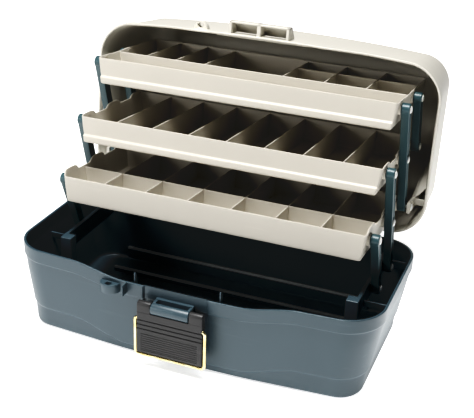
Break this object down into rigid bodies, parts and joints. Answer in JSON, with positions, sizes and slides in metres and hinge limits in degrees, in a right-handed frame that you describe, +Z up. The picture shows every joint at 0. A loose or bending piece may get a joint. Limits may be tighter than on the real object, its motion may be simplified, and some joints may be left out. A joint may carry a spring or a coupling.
{
  "type": "fishing tackle box",
  "caption": "Open cantilever tackle box: dark bin, cream lid and tiered divided trays on pivoting side arms, with a lever and wire-bail front latch and a folding carry handle.",
  "frame": {"origin": "middle of the bin's flat underside", "axes": "+X along the bin's length to the right as seen from the front, +Y from the latch to the hinge, +Z up"},
  "size_m": [0.474, 0.4181, 0.3634],
  "materials": {
    "teal_plastic": "fine grained dark teal moulding",
    "cream_plastic": "smooth cream moulding",
    "tray_plastic": "smooth ivory moulding",
    "arm_plastic": "dark teal moulded bar",
    "rivet_plastic": "pale rivet head",
    "black_plastic": "black moulding",
    "brass_wire": "bright drawn wire",
    "steel_rod": "plain drawn rod"
  },
  "bodies": {
    "base": {"base_bin": "teal_plastic", "hinge_rod_left": "steel_rod", "hinge_rod_right": "steel_rod", "latch_pin": "steel_rod", "base_rivet_1_left": "rivet_plastic", "base_rivet_1_right": "rivet_plastic", "base_rivet_2_left": "rivet_plastic", "base_rivet_2_right": "rivet_plastic"},
    "lid": {"lid_shell": "cream_plastic", "handle_pin_left": "steel_rod", "handle_pin_right": "steel_rod"},
    "handle": {"carry_handle": "black_plastic"},
    "latch_lever": {"latch_lever": "black_plastic"},
    "bail": {"bail_wire": "brass_wire"},
    "arms_front": {"arm_front_left": "arm_plastic", "arm_front_right": "arm_plastic"},
    "arms_second": {"arm_second_left": "arm_plastic", "arm_second_right": "arm_plastic"},
    "arms_third": {"arm_third_left": "arm_plastic", "arm_third_right": "arm_plastic"},
    "arms_rear": {"arm_rear_left": "arm_plastic", "arm_rear_right": "arm_plastic"},
    "bottom_tray": {"tray_bottom": "tray_plastic", "bottom_tray_dividers": "tray_plastic", "bottom_tray_rivet_1_left": "rivet_plastic", "bottom_tray_rivet_1_right": "rivet_plastic", "bottom_tray_rivet_2_left": "rivet_plastic", "bottom_tray_rivet_2_right": "rivet_plastic", "bottom_tray_rivet_3_left": "rivet_plastic", "bottom_tray_rivet_3_right": "rivet_plastic"},
    "middle_tray": {"tray_middle": "tray_plastic", "middle_tray_rivet_1_left": "rivet_plastic", "middle_tray_rivet_1_right": "rivet_plastic", "middle_tray_rivet_2_left": "rivet_plastic", "middle_tray_rivet_2_right": "rivet_plastic", "middle_tray_rivet_3_left": "rivet_plastic", "middle_tray_rivet_3_right": "rivet_plastic"},
    "top_tray": {"tray_top": "tray_plastic", "top_tray_dividers": "tray_plastic", "top_tray_rivet_1_left": "rivet_plastic", "top_tray_rivet_1_right": "rivet_plastic", "top_tray_rivet_2_left": "rivet_plastic", "top_tray_rivet_2_right": "rivet_plastic"}
  },
  "joints": [
    {"name": "lid_hinge", "type": "hinge", "parent": "base", "child": "lid", "pos_m": [0, 0.119, 0.114], "axis": [1, 0, 0], "range_deg": [0, 97]},
    {"name": "arms_front_pivot", "type": "hinge", "parent": "base", "child": "arms_front", "pos_m": [0, 0.0166, 0.09084], "axis": [1, 0, 0], "range_deg": [0, 43.31]},
    {"name": "arms_second_pivot", "type": "hinge", "parent": "base", "child": "arms_second", "pos_m": [0, 0.07355, 0.09219], "axis": [1, 0, 0], "range_deg": [0, 46.6]},
    {"name": "bottom_tray_pivot", "type": "hinge", "parent": "arms_second", "child": "bottom_tray", "pos_m": [0, 0.05353, 0.16425], "axis": [1, 0, 0], "range_deg": [-40.6, 0]},
    {"name": "middle_tray_pivot", "type": "hinge", "parent": "arms_second", "child": "middle_tray", "pos_m": [0, 0.03352, 0.23632], "axis": [1, 0, 0], "range_deg": [-40.6, 0]},
    {"name": "arms_third_pivot", "type": "hinge", "parent": "middle_tray", "child": "arms_third", "pos_m": [0, 0.10314, 0.229], "axis": [1, 0, 0], "range_deg": [0, 40.6]},
    {"name": "arms_rear_pivot", "type": "hinge", "parent": "middle_tray", "child": "arms_rear", "pos_m": [0, 0.17275, 0.22169], "axis": [1, 0, 0], "range_deg": [0, 40.6]},
    {"name": "top_tray_pivot", "type": "hinge", "parent": "arms_third", "child": "top_tray", "pos_m": [0, 0.08312, 0.30107], "axis": [1, 0, 0], "range_deg": [-40.6, 0]},
    {"name": "latch_lever_pivot", "type": "hinge", "parent": "base", "child": "latch_lever", "pos_m": [-0.005, -0.1255, 0.081], "axis": [-1, 0, 0], "range_deg": [0, 75]},
    {"name": "bail_pivot", "type": "hinge", "parent": "latch_lever", "child": "bail", "pos_m": [-0.005, -0.129, 0.067], "axis": [-1, 0, 0], "range_deg": [0, 105]},
    {"name": "handle_pivot", "type": "hinge", "parent": "lid", "child": "handle", "pos_m": [0, 0.27782, 0.21439], "axis": [1, 0, 0], "range_deg": [0, 90]}
  ],
  "couplings": [
    {"joint": "arms_front_pivot", "follows": "lid_hinge", "ratio": 0.44633},
    {"joint": "arms_second_pivot", "follows": "lid_hinge", "ratio": 0.48017},
    {"joint": "bottom_tray_pivot", "follows": "lid_hinge", "ratio": -0.41831},
    {"joint": "middle_tray_pivot", "follows": "lid_hinge", "ratio": -0.41831},
    {"joint": "arms_third_pivot", "follows": "lid_hinge", "ratio": 0.41831},
    {"joint": "arms_rear_pivot", "follows": "lid_hinge", "ratio": 0.41831},
    {"joint": "top_tray_pivot", "follows": "lid_hinge", "ratio": -0.41831}
  ]
}
